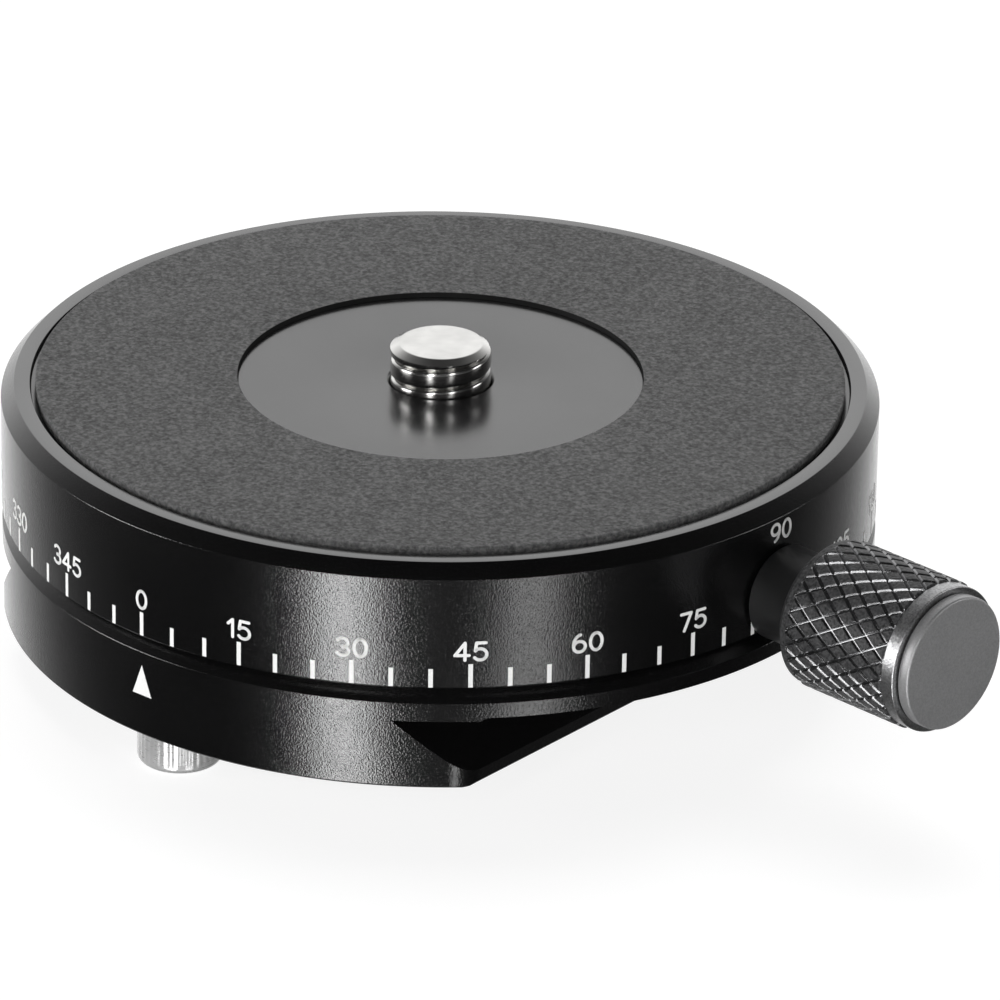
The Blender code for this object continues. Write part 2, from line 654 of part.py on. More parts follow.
def shoe_outline():
    """Plan of the brake shoe in the lock frame: Y across the lock axis and Z along it.

    Both curved faces share the pan axis, which passes the lock axis at y = LOCK_OFFSET.
    """
    half = SHOE_WIDTH / 2

    def arc(radius, first_y, last_y):
        start = asin((first_y - LOCK_OFFSET) / radius)
        stop = asin((last_y - LOCK_OFFSET) / radius)
        steps = [start + (stop - start) * index / ARC_STEPS for index in range(ARC_STEPS + 1)]
        return [(0, LOCK_OFFSET + radius * sin(a), radius * cos(a)) for a in steps]

    return arc(SHOE_INNER_RADIUS, -half, half) + arc(SHOE_OUTER_RADIUS, half, -half)


def make_brake_shoe(material, lock_axis):
    """Curved block between the drum and the wall, with a pocket for the screw's tip."""
    bottom = SHOE_BOTTOM - LOCK_AXIS_HEIGHT
    shoe = extruded("brake_shoe", shoe_outline(), (bottom, 0, 0), (SHOE_HEIGHT, 0, 0), material)
    edge_break = shoe.modifiers.new("edge_break", "BEVEL")
    edge_break.width = SHOE_CORNER_BREAK
    edge_break.limit_method = "ANGLE"
    edge_break.angle_limit = SHOE_BREAK_ANGLE
    pocket = LOCK_TIP_RADIUS + RUNNING_GAP
    mouth = SHOE_BACK + CUT_OVERRUN
    profile = [(0, SHOE_POCKET_FLOOR), (pocket, SHOE_POCKET_FLOOR), (pocket, mouth), (0, mouth)]
    pocket_cutter = turned("shoe_pocket_cutter", profile, SCREW_STEPS)
    carry(lock_axis, pocket_cutter)
    cut(shoe, pocket_cutter)
    return shoe


def make_lock_screw(material):
    """Threaded stem from the shoe's pocket, through the wall, into the knob."""
    shank_start = SHOE_OUTER_RADIUS + SEAT_GAP
    profile = [
        (0, LOCK_TIP), (LOCK_TIP_RADIUS, LOCK_TIP), (LOCK_TIP_RADIUS, shank_start),
        (LOCK_SCREW_RADIUS, shank_start), (LOCK_SCREW_RADIUS, LOCK_SCREW_END - LOCK_TIP_CHAMFER),
        (LOCK_SCREW_RADIUS - LOCK_TIP_CHAMFER, LOCK_SCREW_END), (0, LOCK_SCREW_END),
    ]
    return turned("lock_screw", profile, SMALL_SCREW_STEPS, material)


def knurl_point(bm, column, row, radius):
    """Add a point of the knurl. Columns and rows count half diamonds round and along the knob."""
    angle = pi * column / KNURL_COUNT
    height = KNURL_START + KNURL_LENGTH * row / KNURL_HALF_ROWS
    return bm.verts.new((radius * cos(angle), radius * sin(angle), height))


def add_diamond(bm, column, row):
    """Add one flat-topped diamond and its groove flanks, cut off square at the knurl's ends."""
    inset = KNURL_GROOVE_SHARE
    groove = KNURL_RADIUS - KNURL_DEPTH
    reach = ((-1, 0), (0, -1), (1, 0), (0, 1))
    lands = []
    roots = []
    for across, along in reach:
        if 0 <= row + along <= KNURL_HALF_ROWS:
            lands.append(knurl_point(bm, column + across * (1 - inset), row + along * (1 - inset), KNURL_RADIUS))
            roots.append(knurl_point(bm, column + across, row + along, groove))
        else:
            lands.append(None)
            roots.append(None)
    add_land(bm, lands)
    for index in range(len(reach)):
        following = (index + 1) % len(reach)
        flank = (roots[index], roots[following], lands[following], lands[index])
        if None not in flank:
            bm.faces.new(flank)


def add_land(bm, lands):
    """Add the top of a diamond as two triangles that fold along the knob, or one at an end."""
    side, near, other_side, far = lands
    for tip in (near, far):
        if tip is not None and (near is None or far is None):
            bm.faces.new((side, tip, other_side))
    if near is not None and far is not None:
        bm.faces.new((side, near, far))
        bm.faces.new((near, other_side, far))


def knurl_ring(bm, row, radius, height):
    """Add a ring whose points stand in line with the end row of the knurl."""
    points = []
    for index in range(KNURL_COUNT):
        column = 2 * index + row % 2
        for shift in (0, KNURL_GROOVE_SHARE, 2 - KNURL_GROOVE_SHARE):
            angle = pi * (column + shift) / KNURL_COUNT
            points.append(bm.verts.new((radius * cos(angle), radius * sin(angle), height)))
    return points


def plain_ring(bm, row, radius, height):
    """Add a ring with one point for each diamond."""
    points = []
    for index in range(KNURL_COUNT):
        angle = pi * (2 * index + row % 2) / KNURL_COUNT
        points.append(bm.verts.new((radius * cos(angle), radius * sin(angle), height)))
    return points


def knurl_edge(bm, row):
    """Add the zigzag outline where the knurl ends: grooves low, diamonds high."""
    points = []
    for index in range(KNURL_COUNT):
        column = 2 * index + row % 2
        points.append(knurl_point(bm, column, row, KNURL_RADIUS - KNURL_DEPTH))
        points.append(knurl_point(bm, column + KNURL_GROOVE_SHARE, row, KNURL_RADIUS))
        points.append(knurl_point(bm, column + 2 - KNURL_GROOVE_SHARE, row, KNURL_RADIUS))
    return points


def skin(bm, first, second):
    """Join two rings of as many points."""
    count = len(first)
    for index in range(count):
        following = (index + 1) % count
        bm.faces.new((first[index], first[following], second[following], second[index]))


def skin_to_plain(bm, fine, plain):
    """Join a ring of three points a diamond to a ring of one."""
    count = len(plain)
    for index in range(count):
        following = (index + 1) % count
        start = 3 * index
        last = (start + 3) % len(fine)
        bm.faces.new((fine[start], fine[start + 1], plain[index]))
        bm.faces.new((fine[start + 1], fine[start + 2], plain[following], plain[index]))
        bm.faces.new((fine[start + 2], fine[last], plain[following]))


def close_ring(bm, ring, height):
    """Close a ring with a fan to a point on the axis."""
    centre = bm.verts.new((0, 0, height))
    for index in range(len(ring)):
        bm.faces.new((ring[index], ring[(index + 1) % len(ring)], centre))


def add_knob_end(bm, row, fine_sizes, plain_sizes):
    """Add the plain turned rings beyond one end of the knurl, closed on the axis.

    Both lists hold (radius, height) pairs, the first with the knurl's count of points.
    """
    ring = knurl_edge(bm, row)
    for radius, height in fine_sizes:
        following = knurl_ring(bm, row, radius, height)
        skin(bm, ring, following)
        ring = following
    plain = plain_ring(bm, row, *plain_sizes[0])
    skin_to_plain(bm, ring, plain)
    for radius, height in plain_sizes[1:]:
        following = plain_ring(bm, row, radius, height)
        skin(bm, plain, following)
        plain = following
    close_ring(bm, plain, plain_sizes[-1][1])


def make_lock_knob(material):
    """Knurled barrel with its neck, bored for the screw and recessed for the cap."""
    bm = bmesh.new()
    for row in range(KNURL_HALF_ROWS + 1):
        for index in range(KNURL_COUNT):
            add_diamond(bm, 2 * index + 1 + row % 2, row)
    bore = LOCK_SCREW_RADIUS + SEAT_GAP
    bore_end = LOCK_SCREW_END + SEAT_GAP
    face_radius = KNOB_RIM_RADIUS - KNOB_INNER_CHAMFER
    add_knob_end(
        bm, 0,
        [(KNOB_RIM_RADIUS, KNURL_START - KNURL_RUNOUT), (KNOB_RIM_RADIUS, KNOB_START + KNOB_INNER_CHAMFER),
         (face_radius, KNOB_START)],
        [(NECK_RADIUS, KNOB_START), (NECK_RADIUS, NECK_START), (bore, NECK_START), (bore, bore_end)])
    seat_radius = CAP_SPIGOT_RADIUS + SEAT_GAP
    seat_floor = CAP_SEAT - SEAT_GAP
    add_knob_end(
        bm, KNURL_HALF_ROWS,
        [(KNOB_RIM_RADIUS, KNURL_END + KNURL_RUNOUT), (KNOB_RIM_RADIUS, BAND_END - BAND_EDGE_BREAK),
         (KNOB_RIM_RADIUS - BAND_EDGE_BREAK, BAND_END)],
        [(seat_radius, BAND_END), (seat_radius, seat_floor)])
    return make_object("lock_knob", bm, material)


def make_knob_cap(material):
    """Smooth end cap, whose spigot sits in the barrel behind a fine groove."""
    profile = [
        (0, CAP_SEAT), (CAP_SPIGOT_RADIUS, CAP_SEAT), (CAP_SPIGOT_RADIUS, CAP_SHOULDER),
        (CAP_RADIUS, CAP_SHOULDER), (CAP_RADIUS, CAP_FACE - CAP_EDGE_BREAK),
        (CAP_RADIUS - CAP_EDGE_BREAK, CAP_FACE), (0, CAP_FACE),
    ]
    return turned("knob_cap", profile, HUB_STEPS, material)


def make_lock_axis(pan_axis):
    """Empty whose Z runs outwards along the lock axis and whose X points up."""
    axis = make_empty("lock_axis", pan_axis)
    outwards = Vector((cos(LOCK_ANGLE), sin(LOCK_ANGLE), 0))
    up = Vector((0, 0, 1))
    across = outwards.cross(up)
    axis.rotation_euler = Matrix((up, across, outwards)).transposed().to_euler()
    axis.location = -LOCK_OFFSET * across + LOCK_AXIS_HEIGHT * up
    return axis


def make_fixed_side():
    """Everything that stays with the foot."""
    steel = dark_steel()
    make_base_plate(black_anodised())
    make_spindle(turned_steel())
    make_glide_ring(glide_plastic())
    make_stop_screws(zinc_steel())
    countersunk_screws("spindle_screw", spindle_screw_places(), SPINDLE_SCREW_DIAMETER,
                       SPINDLE_SCREW_HEAD_DIAMETER, SPINDLE_SCREW_LENGTH,
                       (SPINDLE_SOCKET_WIDTH, SPINDLE_SOCKET_DEPTH), steel)


def make_turning_side():
    """Everything that turns round the pan axis, with the lock on its own axis."""
    pan_axis = make_empty("pan_axis")
    lock_axis = make_lock_axis(pan_axis)
    black = bpy.data.materials["black_anodised"]
    plastic = bpy.data.materials["glide_plastic"]
    steel = bpy.data.materials["dark_steel"]
    carry(pan_axis, make_turntable(black, lock_axis), make_grip_pad(pad_rubber()))
    carry(pan_axis, make_camera_stud(bright_steel()), *make_glide_washers(plastic))
    carry(pan_axis, make_retainer_ring(bpy.data.materials["turned_steel"]))
    carry(pan_axis, *countersunk_screws(
        "retainer_screw", retainer_screw_places(), RETAINER_SCREW_DIAMETER, RETAINER_SCREW_HEAD_DIAMETER,
        RETAINER_SCREW_LENGTH, (RETAINER_SOCKET_WIDTH, RETAINER_SOCKET_DEPTH), steel))
    carry(lock_axis, make_brake_shoe(shoe_brass(), lock_axis), make_lock_screw(steel))
    carry(lock_axis, make_lock_knob(grey_knurled()), make_knob_cap(satin_cap()))


def main():
    clear_scene()
    make_fixed_side()
    make_turning_side()


main()
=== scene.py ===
from math import atan2, cos, hypot, pi, radians, sin, sqrt, tan

import bmesh
import bpy
from mathutils import Matrix, Vector


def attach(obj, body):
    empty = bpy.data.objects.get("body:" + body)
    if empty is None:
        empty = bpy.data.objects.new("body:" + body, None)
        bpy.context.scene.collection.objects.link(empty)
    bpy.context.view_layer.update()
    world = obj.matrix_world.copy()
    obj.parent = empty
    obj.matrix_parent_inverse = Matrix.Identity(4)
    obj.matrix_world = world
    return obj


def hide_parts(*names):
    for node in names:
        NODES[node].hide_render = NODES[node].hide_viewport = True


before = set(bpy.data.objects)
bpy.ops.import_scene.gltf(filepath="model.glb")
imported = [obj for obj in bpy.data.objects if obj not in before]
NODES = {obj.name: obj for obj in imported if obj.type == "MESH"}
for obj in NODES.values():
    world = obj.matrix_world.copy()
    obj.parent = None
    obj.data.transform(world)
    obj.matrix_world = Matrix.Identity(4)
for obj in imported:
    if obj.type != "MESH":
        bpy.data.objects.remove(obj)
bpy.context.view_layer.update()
MM = 0.001

# All sizes are in millimetres and the same as in the CAD model.
BODY_R = 27.5
PAST_BODY = 28.5
EDGE_BREAK = 0.15
AROUND_BODY = 360

# Turntable, with the cavity for the spindle below and the pocket of the grip pad above.
TABLE_BOTTOM = 6.67
RIM_TOP = 14.77
TOP_CHAMFER = 0.83
CAVITY_R = 17.2
CAVITY_TOP = 11.7
SPINDLE_POCKET_R = 13.808
SPINDLE_POCKET_TOP = 13.1
STUD_BORE_R = 3.225
STUD_BORE_CHAMFER = 0.14
POCKET_FLOOR = 14.35
POCKET_R = 25.67
SEAT_GAP = 0.05
LOCK_BORE_R = 1.6
LOCK_BORE_START = 14.104
RETAINER_CIRCLE_R = 15.4
RETAINER_HOLE_R = 1.1
RETAINER_HOLE_BOTTOM = 10.1
RETAINER_HOLE_TOP = 13.55

# Base with its dovetail foot.
BASE_TOP = 6.47
BASE_CHAMFER = 0.80
SPINDLE_BORE_R = 6.108
SPINDLE_SEAT_R = 11.108
SPINDLE_SEAT_TOP = 5.0
GLIDE_GROOVE_INNER_R = 18.4
GLIDE_GROOVE_OUTER_R = 22.1
GLIDE_GROOVE_FLOOR = 5.97
FOOT_HALF = 19.385
FOOT_LIP = 0.90
FOOT_CEILING = 4.50
FOOT_RELIEF = 19.9
FOOT_RELIEF_DEPTH = 0.22
FOOT_CORNER_R = 3.0
SPINDLE_SCREW_CIRCLE_R = 9.008
SPINDLE_SCREW_HOLE = [(0, -1), (2.45, -1), (2.45, 0.2), (1.35, 1.3), (1.35, 8.9), (0, 8.9)]
BELOW_FOOT = -1.0

# Stop screws at both ends of the foot.
STOP_Y = 24.09
STOP_HEAD_R = 2.65
STOP_HEAD_ROUND = 0.45
STOP_SPOT_R = 2.75
STOP_SPOT = 0.34
STOP_SHANK_R = 1.5
STOP_HOLE_R = 1.6
STOP_HOLE_TOP = 5.19
STOP_TEETH = 36
TOOTH_POINTS = 6
TOOTH_DEPTH = 0.05
SOCKET_WIDTH = 2.5
SOCKET_DEPTH = 1.6
SCREW_END = -2.71
GROUND_Z = -2.73

# Grip pad.
PAD_BOTTOM = 14.40
PAD_TOP = 15.10
PAD_R = 25.32
PAD_HOLE_R = 12.7

# Camera stud with its thread, and the flange that holds it under the centre face.
STUD_R = 3.175
STUD_TIP = 17.26
STUD_END_R = 2.625
STUD_END_SLOPE = 1.8
STUD_AROUND = 96
THREAD_PITCH = 1.27
THREAD_DEPTH = 0.32
THREAD_CREST_ROUND = 0.06
THREAD_START = 15.67
THREAD_START_ANGLE = radians(139.2)
THREAD_LOW = RIM_TOP - 1.2
THREAD_LEVELS = 190
STUD_FLANGE = [(11.85, 5.8), (12.05, 6.0), (13.05, 6.0), (13.1, STUD_R), (THREAD_LOW - 0.01, 2.6)]

# Lock knob: its axis, and its shape as distances along that axis.
LOCK_POINT = Vector((0.1061, 1.6867, 9.03))
LOCK_ANGLE = radians(-3.6)
NECK_START = 27.648
NECK_R = 3.0
KNOB_START = 31.298
KNOB_R = 4.60
KNURL_START = 32.148
KNURL_END = 39.948
KNURL_R = 4.73
KNURL_COUNT = 27
KNURL_PITCH = 1.733
KNURL_SHARE = 0.155
KNURL_DEPTH = 0.17
KNURL_RUN_OUT = 0.10
KNURL_ROWS = 117
KNOB_AROUND = KNURL_COUNT * 26
BAND_END = 40.848
CAP_SEAT_R = 3.6
CAP_SHANK_R = 3.4
CAP_START = 40.948
CAP_FACE = 41.698
CAP_R = 4.20

# Print on the walls.
TICK_COUNT = 72
TICK_WIDTH = 0.275
TICK_BOTTOM = 6.82
SHORT_TICK_TOP = 8.05
LONG_TICK_TOP = 8.37
NUMBER_COUNT = 24
NUMBER_STEP = 15
NUMBER_HEIGHT = 1.34
NUMBER_STROKE = 0.20
NUMBER_LIFT = 0.17
NUMBER_SPACE = 0.24
RAISED_NUMBER = 90
RAISED_NUMBER_BOTTOM = 12.36
DIGIT_STRETCH = 1.13
STROKE_END_POINTS = 12
PRINT_LIFT = 0.012
PRINT_ROOT = 0.05
INDEX_TRIANGLE = [(-0.77, 2.77), (0.77, 2.77), (0.0, 4.79)]

# The camera fitted to the photograph: the focal length in widths of the picture, the distance
# in body radii, and the angles in radians. It is set about the middle of the rim's plane.
FOCAL = 8.43756871
DISTANCE = 19.2095351
ELEVATION = 0.423495439
PAN = 0.00720604924
TILT = -0.0143004036
ROLL = 0.0116696471
VIEW_ANGLE = 0.71236963
SENSOR_WIDTH = 36

# Light. Azimuths are in degrees from the camera's side, to the right as the camera sees it.
LIGHT_DISTANCE = 600
LIGHT_AIM = Vector((0, 0, 8))
# Name, azimuth, elevation, width and height, power, and whether the metal mirrors it.
SOFTBOXES = [
    ("strip_left", -23.8, -8, (102, 1050), 3.4, True),
    ("strip_right", 23.5, -8, (84, 1050), 1.1, True),
    ("side_left", -84, 7, (250, 260), 1.4, True),
    ("side_right", 86, 6, (220, 200), 0.42, True),
    ("top_soft", 180, 62, (500, 350), 2.1, False),
]
BACKDROP_AZIMUTH = -175.5
STUDIO_STRENGTH = 1.5
# Brightness of the studio, from the side opposite the backdrop at 0 to the backdrop at 1.
STUDIO_STOPS = [
    (0.0, 0.045), (0.10, 0.034), (0.25, 0.006), (0.45, 0.015), (0.53, 0.024), (0.61, 0.042),
    (0.70, 0.100), (0.755, 0.17), (0.82, 0.33), (0.875, 0.55), (0.924, 0.78), (0.957, 0.92),
    (1.0, 0.90),
]
BACKDROP_STOPS = [(0.95, 0.0), (1.0, 1.0)]
FLOOR_R = 900
FLOOR_GLOW = 0.85


# Geometry helpers

def new_object(name, verts, faces, sharp=30, smooth=True):
    """Make an object from points in millimetres."""
    mesh = bpy.data.meshes.new(name)
    mesh.from_pydata([(x * MM, y * MM, z * MM) for x, y, z in verts], [], faces)
    mesh.update()
    item = bpy.data.objects.new(name, mesh)
    if smooth:
        smooth_by(item, sharp)
    bpy.context.scene.collection.objects.link(item)
    return item


def smooth_by(item, angle):
    item.data.shade_smooth()
    item.data.set_sharp_from_angle(angle=radians(angle))


def face_outwards(item):
    bm = bmesh.new()
    bm.from_mesh(item.data)
    bmesh.ops.recalc_face_normals(bm, faces=bm.faces)
    bm.to_mesh(item.data)
    bm.free()


def rounded(profile, sizes, steps=4):
    """Round corners of a closed profile of (r, z) points. sizes maps a corner's index to its size."""
    out = []
    for i, point in enumerate(profile):
        if i not in sizes:
            out.append(point)
            continue
        corner = Vector(point)
        before = Vector(profile[i - 1]) - corner
        after = Vector(profile[(i + 1) % len(profile)]) - corner
        limit = min(before.length, after.length) * 0.45
        back = min(sizes[i] / max(0.05, tan(before.angle(after) / 2)), limit)
        start = corner + before.normalized() * back
        end = corner + after.normalized() * back
        for k in range(steps + 1):
            t = k / steps
            out.append(tuple(start.lerp(corner, t).lerp(corner.lerp(end, t), t)))
    return out


def circle(radius, count):
    return [(radius * cos(2 * pi * k / count), radius * sin(2 * pi * k / count)) for k in range(count)]


def lathe(name, profile, steps, closed=True):
    """Spin a profile of (r, z) points round Z. A point on the axis becomes one vertex."""
    verts, rings = [], []
    for r, z in profile:
        points = circle(r, steps) if r > 0 else [(0, 0)]
        rings.append(range(len(verts), len(verts) + len(points)))
        verts += [(x, y, z) for x, y in points]
    pairs = list(zip(rings, rings[1:]))
    if closed:
        pairs.append((rings[-1], rings[0]))
    faces = []
    for a, b in pairs:
        for k in range(steps):
            n = (k + 1) % steps
            if len(a) == 1:
                faces.append((a[0], b[k], b[n]))
            elif len(b) == 1:
                faces.append((a[k], b[0], a[n]))
            else:
                faces.append((a[k], b[k], b[n], a[n]))
    item = new_object(name, verts, faces)
    face_outwards(item)
    return item


def stacked(name, rings, around, sharp, middle=(0, 0)):
    """Skin a stack of rings, each a height with one radius, or with a radius for each point."""
    verts, faces = [], []
    for height, radii in rings:
        for k in range(around):
            radius = radii[k] if isinstance(radii, list) else radii
            angle = 2 * pi * k / around
            verts.append((middle[0] + radius * cos(angle), middle[1] + radius * sin(angle), height))
    last = (len(rings) - 1) * around
    for low in range(0, last, around):
        high = low + around
        for k in range(around):
            n = (k + 1) % around
            faces.append((low + k, low + n, high + n, high + k))
    faces.append(tuple(reversed(range(around))))
    faces.append(tuple(range(last, last + around)))
    item = new_object(name, verts, faces, sharp)
    face_outwards(item)
    return item


def prism(name, outline, low, high, along_y=False):
    """Extrude an outline in X and Y along Z, or one in X and Z along Y."""
    n = len(outline)
    verts = [(a, level, b) if along_y else (a, b, level) for level in (low, high) for a, b in outline]
    faces = [tuple(range(n)), tuple(range(n, 2 * n))]
    faces += [(i, (i + 1) % n, n + (i + 1) % n, n + i) for i in range(n)]
    item = new_object(name, verts, faces, smooth=False)
    face_outwards(item)
    return item


def round_hole(place, profile, steps):
    """Cutter for a hole along Z at a place in X and Y."""
    hole = lathe("hole", profile, steps, closed=False)
    hole.location = (place[0] * MM, place[1] * MM, 0)
    return hole


def cut(item, *cutters):
    """Take the cutters out of the item's own mesh."""
    for cutter in cutters:
        modifier = item.modifiers.new("cut", "BOOLEAN")
        modifier.operation = "DIFFERENCE"
        modifier.solver = "EXACT"
        modifier.object = cutter
    bpy.context.view_layer.update()
    graph = bpy.context.evaluated_depsgraph_get()
    mesh = bpy.data.meshes.new_from_object(item.evaluated_get(graph))
    item.modifiers.clear()
    item.data = mesh
    for cutter in cutters:
        bpy.data.objects.remove(cutter)


def lock_matrix():
    """Z of the turned pieces goes along the lock screw's axis."""
    axis = Vector((cos(LOCK_ANGLE), sin(LOCK_ANGLE), 0))
    side = Vector((0, 0, 1)).cross(axis)
    up = axis.cross(side)
    turn = Matrix((side, up, axis)).transposed().to_4x4()
    return Matrix.Translation(LOCK_POINT * MM) @ turn


# Materials

def material(name):
    made = bpy.data.materials.new(name)
    made.use_nodes = True
    tree = made.node_tree
    return made, tree, tree.nodes["Principled BSDF"]


def node(tree, kind, **values):
    item = tree.nodes.new(kind)
    for key, value in values.items():
        setattr(item, key, value)
    return item


def noise(tree, scale, detail, roughness, stretch=(1, 1, 1), distortion=0.0):
    """Noise in object space. The scale is in lumps per millimetre."""
    coords = node(tree, "ShaderNodeTexCoord")
    mapping = node(tree, "ShaderNodeMapping")
    mapping.inputs["Scale"].default_value = tuple(s * scale / MM for s in stretch)
    tree.links.new(coords.outputs["Object"], mapping.inputs["Vector"])
    texture = node(tree, "ShaderNodeTexNoise")
    texture.inputs["Scale"].default_value = 1.0
    texture.inputs["Detail"].default_value = detail
    texture.inputs["Roughness"].default_value = roughness
    texture.inputs["Distortion"].default_value = distortion
    tree.links.new(mapping.outputs["Vector"], texture.inputs["Vector"])
    return texture.outputs["Fac"]


def ramp(tree, source, stops):
    """Turn a factor into a grey or a colour. Each stop is a place with a number or a colour."""
    item = node(tree, "ShaderNodeValToRGB")
    elements = item.color_ramp.elements
    while len(elements) < len(stops):
        elements.new(0.5)
    for element, (place, value) in zip(elements, stops):
        element.position = place
        element.color = (*value, 1) if isinstance(value, tuple) else (value, value, value, 1)
    tree.links.new(source, item.inputs["Fac"])
    return item.outputs["Color"]


def bump(tree, height, strength, distance):
    item = node(tree, "ShaderNodeBump")
    item.inputs["Strength"].default_value = strength
    item.inputs["Distance"].default_value = distance * MM
    tree.links.new(height, item.inputs["Height"])
    return item.outputs["Normal"]


def scaled(colour, share):
    return tuple(min(1, c * share) for c in colour)


def blasted_metal(name, colour, rough, ior, grain, depth, distance, metallic=0.0, spread=(0.70, 1.45)):
    """Bead-blasted, anodised skin with fine leathery grain."""
    made, tree, shader = material(name)
    fine = noise(tree, grain, 1.5, 0.6)
    coarse = noise(tree, 0.25, 3.0, 0.5)
    tones = [(0.30, scaled(colour, spread[0])), (0.72, scaled(colour, spread[1]))]
    sheen = [(0.3, rough * 0.93), (0.7, rough * 1.07)]
    tree.links.new(ramp(tree, fine, tones), shader.inputs["Base Color"])
    tree.links.new(ramp(tree, coarse, sheen), shader.inputs["Roughness"])
    tree.links.new(bump(tree, fine, depth, distance), shader.inputs["Normal"])
    shader.inputs["IOR"].default_value = ior
    shader.inputs["Metallic"].default_value = metallic
    return made


def turned_metal(name, colour, rough, lines, depth, axis=2, metallic=1.0):
    """Turned metal: fine lines round an axis, and slight changes of tone and roughness."""
    made, tree, shader = material(name)
    line = noise(tree, lines, 2.0, 0.6, tuple(1.0 if k == axis else 0.15 for k in range(3)))
    soft = noise(tree, 0.6, 2.0, 0.5)
    tones = [(0.3, scaled(colour, 0.90)), (0.7, scaled(colour, 1.08))]
    sheen = [(0.3, rough * 0.85), (0.7, rough * 1.15)]
    tree.links.new(ramp(tree, soft, tones), shader.inputs["Base Color"])
    tree.links.new(ramp(tree, line, sheen), shader.inputs["Roughness"])
    tree.links.new(bump(tree, line, depth, 0.004), shader.inputs["Normal"])
    shader.inputs["Metallic"].default_value = metallic
    return made


def matt_skin(name, colour, rough):
    """Matt surface with a slightly uneven tone: white print, and the near-black wall of the pad's hole,
    which is painted shade.
    """
    made, tree, shader = material(name)
    speck = noise(tree, 8.0, 2.0, 0.6)
    tones = [(0.35, scaled(colour, 0.93)), (0.65, colour)]
    tree.links.new(ramp(tree, speck, tones), shader.inputs["Base Color"])
    tree.links.new(bump(tree, speck, 0.15, 0.004), shader.inputs["Normal"])
    shader.inputs["Roughness"].default_value = rough
    return made


def pad_rubber(name):
    """Matt leather-like grain of the grip pad."""
    made, tree, shader = material(name)
    fine = noise(tree, 3.6, 2.0, 0.62, distortion=0.3)
    broad = noise(tree, 0.30, 2.0, 0.5)
    tones = [(0.30, 0.060), (0.50, 0.115), (0.70, 0.19)]
    tree.links.new(ramp(tree, fine, tones), shader.inputs["Base Color"])
    tree.links.new(ramp(tree, broad, [(0.3, 0.78), (0.7, 0.92)]), shader.inputs["Roughness"])
    tree.links.new(bump(tree, fine, 0.6, 0.05), shader.inputs["Normal"])
    shader.inputs["IOR"].default_value = 1.42
    return made


def glide_plastic(name):
    """Smooth pale plastic of the glide ring and washers."""
    made, tree, shader = material(name)
    grain = noise(tree, 5.0, 2.0, 0.5)
    tones = [(0.3, (0.74, 0.73, 0.69)), (0.7, (0.81, 0.80, 0.76))]
    tree.links.new(ramp(tree, grain, tones), shader.inputs["Base Color"])
    tree.links.new(bump(tree, grain, 0.2, 0.005), shader.inputs["Normal"])
    shader.inputs["Roughness"].default_value = 0.45
    return made


WALL = blasted_metal("black_anodised_wall", (0.0026, 0.0026, 0.0027), rough=0.18, ior=1.77,
                     grain=9.0, depth=1.0, distance=0.017)
RIM = blasted_metal("black_anodised_rim", (0.006, 0.006, 0.0062), rough=0.17, ior=2.0,
                    grain=4.0, depth=0.4, distance=0.004)
RECESS = blasted_metal("centre_face_satin", (0.012, 0.012, 0.0122), rough=0.21, ior=1.8,
                       grain=2.6, depth=0.3, distance=0.003)
FOOT = blasted_metal("black_anodised_foot", (0.0026, 0.0026, 0.0027), rough=0.21, ior=1.77,
                     grain=9.0, depth=1.0, distance=0.014)
# The near-black tone of the pad's hole wall is painted shade, not the rubber's own colour.
PAD_HOLE_SHADE = matt_skin("pad_hole_painted_shade", (0.004, 0.004, 0.004), rough=0.8)
PRINT = matt_skin("white_print", (0.86, 0.86, 0.85), rough=0.6)
PAD = pad_rubber("grip_pad_rubber")
STUD_STEEL = turned_metal("stud_steel", (0.62, 0.615, 0.60), rough=0.17, lines=6.0, depth=0.15)
SCREW_STEEL = turned_metal("plated_screw_steel", (0.74, 0.74, 0.74), rough=0.30, lines=8.0,
                           depth=0.15, metallic=0.6)
NECK_METAL = turned_metal("neck_black", (0.018, 0.018, 0.0185), rough=0.34, lines=5.0,
                          depth=0.25, axis=0, metallic=0.3)
KNURL_METAL = blasted_metal("knurled_land_grey", (0.032, 0.032, 0.033), rough=0.42, ior=1.38,
                            grain=6.0, depth=1.0, distance=0.060, spread=(0.35, 2.2))
# The knurl's groove walls are the same metal as its lands; their brighter, metallic tone is a painted glint.
GROOVE_GLINT_METAL = turned_metal("knurl_groove_painted_glint", (0.27, 0.27, 0.275), rough=0.24, lines=7.0,
                            depth=0.2)
BAND_METAL = blasted_metal("knob_band", (0.36, 0.36, 0.365), rough=0.33, ior=1.5,
                           grain=7.0, depth=1.0, distance=0.014, metallic=0.95)
CAP_METAL = blasted_metal("knob_cap_satin", (0.40, 0.40, 0.405), rough=0.46, ior=1.5,
                          grain=8.0, depth=0.8, distance=0.010, metallic=0.7, spread=(0.9, 1.12))
SPINDLE_STEEL = turned_metal("spindle_steel", (0.42, 0.42, 0.43), rough=0.32, lines=6.0, depth=0.25)
DARK_STEEL = turned_metal("black_oxide_steel", (0.10, 0.10, 0.105), rough=0.40, lines=6.0, depth=0.25)
BRASS = turned_metal("shoe_brass_skin", (0.62, 0.46, 0.20), rough=0.34, lines=6.0, depth=0.3)
GLIDE = glide_plastic("glide_plastic_skin")


def dress(name, finish):
    """Give a carried-over CAD node a better material."""
    for slot in NODES[name].material_slots:
        slot.material = finish


def finish_piece(item, body, slot, *materials):
    item.data.materials.clear()
    for made in materials:
        item.data.materials.append(made)
    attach(item, body)


# Turntable

